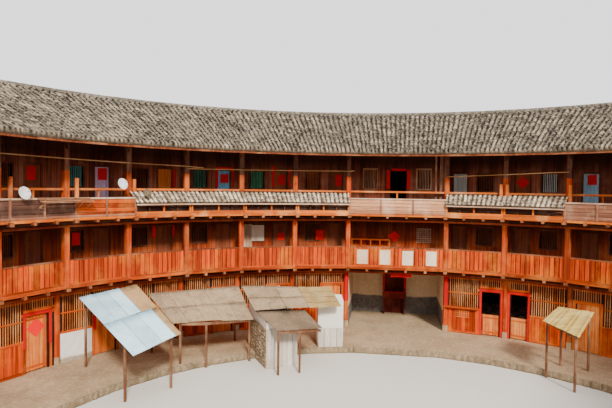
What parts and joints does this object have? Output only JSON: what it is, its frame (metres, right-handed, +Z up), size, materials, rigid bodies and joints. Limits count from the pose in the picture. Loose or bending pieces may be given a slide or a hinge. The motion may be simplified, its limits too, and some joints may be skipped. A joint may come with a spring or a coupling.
{
  "type": "tulou roundhouse",
  "caption": "Round earth and timber tulou house with a tiled ring roof, plank galleries, an open ancestral hall, kitchens with bar windows and sheet-roofed lean-tos in the courtyard",
  "frame": {"origin": "Centre of the ring at courtyard level, under the middle of the bounding box", "axes": "+Z up, +Y towards the ancestral hall, -Y towards the gate, +X to the right of a person who faces the hall"},
  "size_m": [39.24, 39.24, 10.515],
  "materials": {
    "rammed_earth": "matte, rammed in courses",
    "stone": "rough, weathered",
    "orange_timber": "oiled planks, worn",
    "brown_timber": "dark planks, matte",
    "grey_timber": "bare boards, weathered grey",
    "roof_tiles": "unglazed clay, lichened",
    "pale_tiles": "unglazed clay, bleached",
    "plaster": "lime plaster, stained",
    "dark_plaster": "smoke-darkened plaster",
    "red_paint": "painted and papered red",
    "blue_sheet": "painted corrugated sheet, faded",
    "grey_sheet": "weathered corrugated sheet",
    "woven_mat": "woven straw"
  },
  "bodies": {
    "house": {"stone_platform": "stone", "stone_footing": "stone", "gate_frame": "stone", "earth_wall_hall": "rammed_earth", "earth_wall_right": "rammed_earth", "earth_wall_gate": "rammed_earth", "earth_wall_left": "rammed_earth", "kitchen_front_right_end": "orange_timber", "kitchen_front_right": "orange_timber", "kitchen_front_left": "orange_timber", "kitchen_front_far_left": "orange_timber", "door_frames_right": "red_paint", "door_frame_left": "red_paint", "parapet_left": "grey_timber", "parapet_hall": "grey_timber", "parapet_right": "grey_timber", "parapet_gate": "grey_timber", "pent_roof_left": "pale_tiles", "pent_roof_right": "pale_tiles", "pent_roof_far_right": "pale_tiles", "pent_roof_far_left": "pale_tiles", "roof_ridge": "pale_tiles", "eaves_board": "brown_timber", "hall_walls": "dark_plaster", "hall_altar": "red_paint", "gate_leaf_left": "brown_timber", "gate_leaf_right": "brown_timber", "gate_passage_wall_left": "brown_timber", "gate_passage_wall_right": "brown_timber", "blue_canopy": "blue_sheet", "blue_canopy_frame": "grey_timber", "grey_roof": "grey_sheet", "grey_roof_frame": "grey_timber", "shed_walls": "plaster", "shed_roof": "grey_sheet", "low_roof": "grey_sheet", "low_roof_frame": "grey_timber", "plaster_screen": "plaster", "mat_awning": "woven_mat", "mat_awning_frame": "grey_timber", "second_floor_hall": "brown_timber", "second_gallery_hall": "orange_timber", "second_room_front_hall": "brown_timber", "third_floor_hall": "brown_timber", "third_gallery_hall": "brown_timber", "third_room_front_hall": "brown_timber", "roof_hall": "roof_tiles", "second_floor_gate": "brown_timber", "second_gallery_gate": "orange_timber", "second_room_front_gate": "brown_timber", "third_floor_gate": "brown_timber", "third_gallery_gate": "brown_timber", "third_room_front_gate": "brown_timber", "roof_gate": "roof_tiles"},
    "left_leaf": {"left_door": "orange_timber"},
    "right_near_leaf": {"right_half_door_near": "orange_timber"},
    "right_far_leaf": {"right_half_door_far": "orange_timber"}
  },
  "joints": [
    {"name": "left_leaf_hinge", "type": "hinge", "parent": "house", "child": "left_leaf", "pos_m": [-12.60992, 4.66418, 1.2], "axis": [0, 0, 1], "range_deg": [0, 90]},
    {"name": "right_near_leaf_hinge", "type": "hinge", "parent": "house", "child": "right_near_leaf", "pos_m": [4.58969, 12.68374, 0.7], "axis": [0, 0, -1], "range_deg": [0, 90]},
    {"name": "right_far_leaf_hinge", "type": "hinge", "parent": "house", "child": "right_far_leaf", "pos_m": [4.96312, 12.54233, 0.7], "axis": [0, 0, 1], "range_deg": [0, 90]}
  ]
}
